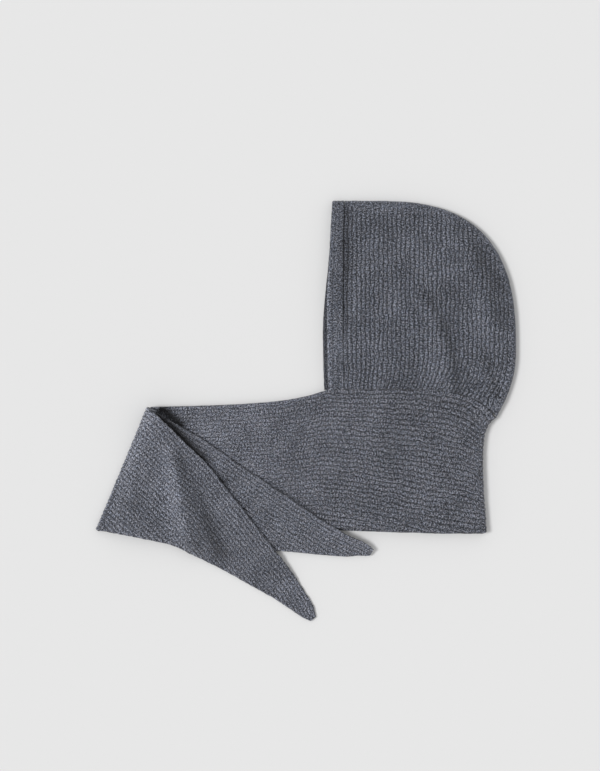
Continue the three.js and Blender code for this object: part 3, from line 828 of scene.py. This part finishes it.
def scarf():
    foldLength, rough = strip["foldLength"], strip["rough"]
    start = foldLength / 2  # of both sides, from the centre back
    end = start + collar["depth"] + folds["right"]["reach"]

    def ribsAlong(along):
        return mix(collar["ribs"], tails["ribs"], float(ramp(along, 0, 0.5)))

    def side(which, layer, facing, count, direction, **more):
        rows = []
        last = strip["lastNear"] if which is left else strip["lastFar"]
        for along in np.linspace(strip["first"], last, count):
            def point(down, along=along):
                return sidePoint(which, along, down)

            top = mix(collar["depth"], which["corner"][0], along)
            sewn = mix(*strip["sewnRound"], float(ramp(top, *strip["napeFrom"])))
            edges = (mix(1, sewn, float(ramp(top, *strip["sewnFrom"]))), 1)
            length = direction * mix(start, end, along)
            upper = rough["free"] if top < 0 else rough["sewn"]
            rows.append(laidRow(point, layer, facing, ribsAlong(along), length, round=edges,
                                rough=(upper, rough["hem"]), **more))
        return rows

    def tail(which, layer, facing, count, direction, **more):
        rows = []
        last = 1 - np.array(strip["tipRows"]) / which["length"]
        for along in np.concatenate([np.linspace(strip["first"], last[0] - 0.004, count), last]):
            def point(down, along=along):
                return tailPoint(which, along, down)

            length = direction * (end + foldLength + along * which["length"])
            rows.append(laidRow(point, layer, facing, tailRibs(which, along), length,
                                ribbing=tailRibbing, rough=(rough["tail"], rough["tail"]), **more))
        return rows

    def fold(point, outward, low, high, facing, ribs, length, **more):
        rows = []
        for share in np.linspace(0, 1, strip["fold"]):
            here = length + share * foldLength
            rows.append(foldRow(point, outward, low, high, 180 * share, facing, ribs, here, **more))
        return rows

    def crease(which, low, high, facing, length, **more):
        def point(down):
            return [mix(which["corner"][i], which["foot"][i], down) for i in (0, 1)]

        return fold(point, which["outward"], low, high, facing, tails["ribs"], length,
                    ribbing=tailRibbing, **more)

    def back(down):
        return sidePoint(left, 0, down)

    collarLook = {"ribbing": collarRibbing, "lift": collarPaintedLight}
    rows = tail(right, rightTailLayer, 1, strip["rightTail"], -1, lift=rightTailPaintedLight)[::-1]
    rows += crease(right, lowerLayer, rightTailLayer, 1, -end - foldLength, lift=rightTailPaintedLight)[::-1]
    rows += side(right, lowerLayer, -1, strip["hidden"], -1, shown="neither")[::-1]
    rows += fold(back, (1, 0), lowerLayer, upperLayer, 1, collar["ribs"], -start, **collarLook)
    rows += side(left, upperLayer, 1, strip["side"], 1, shown="outer", **collarLook)
    rows += crease(left, upperLayer, leftTailLayer, -1, end, shown="both", lift=leftTailPaintedLight)
    rows += tail(left, leftTailLayer, -1, strip["leftTail"], 1, shown="inner", lift=leftTailPaintedLight)
    return knitSheet("neckScarf", rows, tails["ribs"], strip["columns"], strip["columns"], strip["seed"])


neckScarf = scarf()
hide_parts("scarf")
print("knit pieces made")


# knit finish: pale and dark fibres spun together, painted shade in the rib valleys, painted light and
# shade from the lift attribute, and soft stitches
finish = {
    "dark": (0.0115, 0.013, 0.017),
    "middle": (0.087, 0.0945, 0.117),
    "pale": (0.345, 0.36, 0.42),
    "toneStops": (0.43, 0.5, 0.59),  # where the dark, middle and pale yarn lie
    "cool": (0.965, 1.0, 1.045, 1),
    "warm": (1.035, 1.0, 0.965, 1),
    "warmFrom": (0.36, 0.64),
    "valley": 0.2,
    "valleyTo": 0.7,
    "fibresAcross": 5.6,  # of a rib
    "fibreLean": 1.8,  # towards a crest
    "stitchLean": 0.45,
    "fleck": (0.56, 2.5, 0.75),  # scale, detail and roughness of each noise
    "fine": (1150, 2, 0.6),
    "broad": (38, 3, 0.55),
    "hue": (330, 2, 0.6),
    "drift": (140, 2, 0.5),
    "driftRows": 2.2,
    "shares": {"fleck": 0.72, "fine": 0.28, "broad": 0.08, "stitch": 0.014},
    "roughness": 0.92,
    "specular": 0.2,
    "sheen": 0.2,
    "sheenRoughness": 0.6,
    "bump": 0.0006,
    "bumpStrength": 0.9,
    "stitchHeight": 0.35,
    "fleckHeight": 2.2,
}


def link(tree, source, target):
    tree.links.new(source, target)


def combine(tree, operation, a, b=None):
    node = tree.nodes.new("ShaderNodeMath")
    node.operation = operation
    for i, value in enumerate((a, b)):
        if value is None:
            continue
        if isinstance(value, (int, float)):
            node.inputs[i].default_value = value
        else:
            link(tree, value, node.inputs[i])
    return node.outputs[0]


def remap(tree, value, low, high, toLow, toHigh):
    node = tree.nodes.new("ShaderNodeMapRange")
    link(tree, value, node.inputs["Value"])
    for name, number in (("From Min", low), ("From Max", high), ("To Min", toLow), ("To Max", toHigh)):
        node.inputs[name].default_value = number
    return node.outputs[0]


def noise(tree, vector, scale, detail, roughness):
    node = tree.nodes.new("ShaderNodeTexNoise")
    link(tree, vector, node.inputs["Vector"])
    node.inputs["Scale"].default_value = scale
    node.inputs["Detail"].default_value = detail
    node.inputs["Roughness"].default_value = roughness
    return node.outputs["Fac"]


def blend(tree, mode, amount, a, b):
    node = tree.nodes.new("ShaderNodeMix")
    node.data_type = "RGBA"
    node.blend_type = mode
    for name, value in (("Factor", amount), ("A", a), ("B", b)):
        if isinstance(value, (int, float, tuple)):
            node.inputs[name].default_value = value
        else:
            link(tree, value, node.inputs[name])
    return node.outputs["Result"]


def readLook(tree, name):
    node = tree.nodes.new("ShaderNodeAttribute")
    node.attribute_name = name
    return node.outputs["Fac"]


def melangeKnit(name, tint, slotName):
    material = bpy.data.materials.new(name)
    material.use_nodes = True
    tree = material.node_tree
    shader = tree.nodes["Principled BSDF"]
    shader.inputs["Roughness"].default_value = finish["roughness"]
    shader.inputs["Specular IOR Level"].default_value = finish["specular"]
    shader.inputs["Sheen Weight"].default_value = finish["sheen"]
    shader.inputs["Sheen Roughness"].default_value = finish["sheenRoughness"]
    place = tree.nodes.new("ShaderNodeTexCoord").outputs["Object"]
    uvMap = tree.nodes.new("ShaderNodeUVMap")
    uvMap.uv_map = "ribs"
    split = tree.nodes.new("ShaderNodeSeparateXYZ")
    link(tree, uvMap.outputs["UV"], split.inputs[0])
    rib, along = split.outputs["X"], split.outputs["Y"]
    ribbed, lift = readLook(tree, "ribDepth"), readLook(tree, "lift")
    crest = combine(tree, "ABSOLUTE", combine(tree, "SINE", combine(tree, "MULTIPLY", rib, math.pi)))
    drift = noise(tree, place, *finish["drift"])
    wander = combine(tree, "MULTIPLY", combine(tree, "SUBTRACT", drift, 0.5), finish["driftRows"])
    row = combine(tree, "ADD", combine(tree, "MULTIPLY", along, 1 / knit["stitch"]), wander)
    vee = combine(tree, "ADD", row, combine(tree, "MULTIPLY", crest, finish["stitchLean"]))
    stitch = combine(tree, "SINE", combine(tree, "MULTIPLY", vee, 2 * math.pi))
    spun = tree.nodes.new("ShaderNodeCombineXYZ")  # fibres lean with the legs of each stitch
    leaning = combine(tree, "MULTIPLY", crest, finish["fibreLean"])
    link(tree, combine(tree, "MULTIPLY", rib, finish["fibresAcross"]), spun.inputs["X"])
    link(tree, combine(tree, "ADD", along, leaning), spun.inputs["Y"])
    fleck = noise(tree, spun.outputs[0], *finish["fleck"])
    fine = noise(tree, place, *finish["fine"])
    broad = combine(tree, "SUBTRACT", noise(tree, place, *finish["broad"]), 0.5)
    hue = noise(tree, place, *finish["hue"])
    shares = finish["shares"]
    tone = combine(tree, "MULTIPLY", fleck, shares["fleck"])
    for part, share in ((fine, shares["fine"]), (broad, shares["broad"]), (stitch, shares["stitch"])):
        tone = combine(tree, "ADD", tone, combine(tree, "MULTIPLY", part, share))
    colours = tree.nodes.new("ShaderNodeValToRGB")
    link(tree, tone, colours.inputs["Fac"])
    stops = colours.color_ramp.elements
    darkAt, middleAt, paleAt = finish["toneStops"]
    stops[0].position, stops[1].position = darkAt, paleAt
    stops[0].color = (*[c * t for c, t in zip(finish["dark"], tint)], 1)
    stops[1].color = (*[c * t for c, t in zip(finish["pale"], tint)], 1)
    stops.new(middleAt).color = (*[c * t for c, t in zip(finish["middle"], tint)], 1)
    warmth = remap(tree, hue, *finish["warmFrom"], 0, 1)
    dyed = blend(tree, "MIX", warmth, finish["cool"], finish["warm"])
    # painted shade in the rib valleys, deeper where the ribs are deeper, times the painted light and shade
    # of the lift attribute
    valley = combine(tree, "SUBTRACT", 1, combine(tree, "MULTIPLY", ribbed, 1 - finish["valley"]))
    steep = remap(tree, crest, 0, finish["valleyTo"], 0, 1)
    raised = combine(tree, "MULTIPLY", steep, combine(tree, "SUBTRACT", 1, valley))
    shade = combine(tree, "MULTIPLY", combine(tree, "ADD", valley, raised), lift)
    coloured = blend(tree, "MULTIPLY", 1, colours.outputs["Color"], dyed)
    link(tree, blend(tree, "MULTIPLY", 1, coloured, shade), shader.inputs["Base Color"])
    stitchHeight = combine(tree, "MULTIPLY", stitch, finish["stitchHeight"])
    height = combine(tree, "ADD", stitchHeight, combine(tree, "MULTIPLY", fleck, finish["fleckHeight"]))
    bump = tree.nodes.new("ShaderNodeBump")
    bump.inputs["Strength"].default_value = finish["bumpStrength"]
    bump.inputs["Distance"].default_value = finish["bump"]
    link(tree, height, bump.inputs["Height"])
    link(tree, bump.outputs["Normal"], shader.inputs["Normal"])
    return material, slotName


# one knit in four tints: the scarf's is painted light, the seam's and the band's painted shade, beside the
# hood's
hoodKnit = melangeKnit("hoodKnit", (0.965, 0.975, 0.99), "hood_knit")
seamKnit = melangeKnit("seamKnit", (0.93, 0.94, 0.955), "seam_knit")
bandKnit = melangeKnit("bandKnit", (0.9, 0.91, 0.92), "band_knit")
scarfKnit = melangeKnit("scarfKnit", (1.0, 0.995, 0.995), "scarf_knit")
for piece, (material, slotName) in (
    (hoodLeft, hoodKnit),
    (hoodRight, hoodKnit),
    (seam, seamKnit),
    (faceHem, bandKnit),
    (neckScarf, scarfKnit),
):
    piece.data.materials.clear()
    piece.data.materials.append(material)
    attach(piece, "root")
print("knit finish made")

# studio: a pale sheet of card under a soft sun from the left, with pale surroundings
studio = {
    "floor": 0.80,
    "floorSize": 12,
    "floorLevel": -0.0003,
    "surround": 0.58,
    "sun": 1.67,
    "sunSpread": 19.0,
    "sunHeight": 52.0,
    "sunFrom": 182.0,  # counted from the right, through the back
    "middle": (-35.0, 4.6),  # of the picture
    "distance": 2.6,
    "frameHeight": 0.96375,
    "sensor": 36,
    "paperRoughness": 0.9,
    "paperSpecular": 0.1,
}
bpy.ops.mesh.primitive_plane_add(size=studio["floorSize"], location=(0, 0, studio["floorLevel"]))
floor = bpy.context.object
floor.name = "floor"
paper = bpy.data.materials.new("paper")
paper.use_nodes = True
card = paper.node_tree.nodes["Principled BSDF"]
card.inputs["Base Color"].default_value = (*[studio["floor"]] * 3, 1)
card.inputs["Roughness"].default_value = studio["paperRoughness"]
card.inputs["Specular IOR Level"].default_value = studio["paperSpecular"]
floor.data.materials.append(paper)
floor.select_set(False)

sky = bpy.data.worlds.new("studioSurround")
sky.use_nodes = True
sky.node_tree.nodes["Background"].inputs["Color"].default_value = (1, 1, 1, 1)
sky.node_tree.nodes["Background"].inputs["Strength"].default_value = studio["surround"]
bpy.context.scene.world = sky

centre = origin + Vector((studio["middle"][0] / 1000, studio["middle"][1] / 1000, 0))
turn, lift = math.radians(studio["sunFrom"]), math.radians(studio["sunHeight"])
toSun = Vector((math.cos(turn) * math.cos(lift), math.sin(turn) * math.cos(lift), math.sin(lift)))
bpy.ops.object.light_add(type="SUN", location=centre + toSun * 2)
key = bpy.context.object
key.name = "keyLight"
key.data.angle = math.radians(studio["sunSpread"])
key.data.energy = studio["sun"]
key.rotation_euler = toSun.to_track_quat("Z", "Y").to_euler()

bpy.ops.object.camera_add(location=centre + Vector((0, 0, studio["distance"])))
camera = bpy.context.object
camera.name = "overheadCamera"
camera.data.sensor_width = studio["sensor"]
camera.data.lens = studio["sensor"] * studio["distance"] / studio["frameHeight"]
camera.data.dof.use_dof = False
camera.rotation_euler = (0, 0, 0)
bpy.context.scene.camera = camera
bpy.context.scene.view_settings.view_transform = "Standard"
print("studio set")
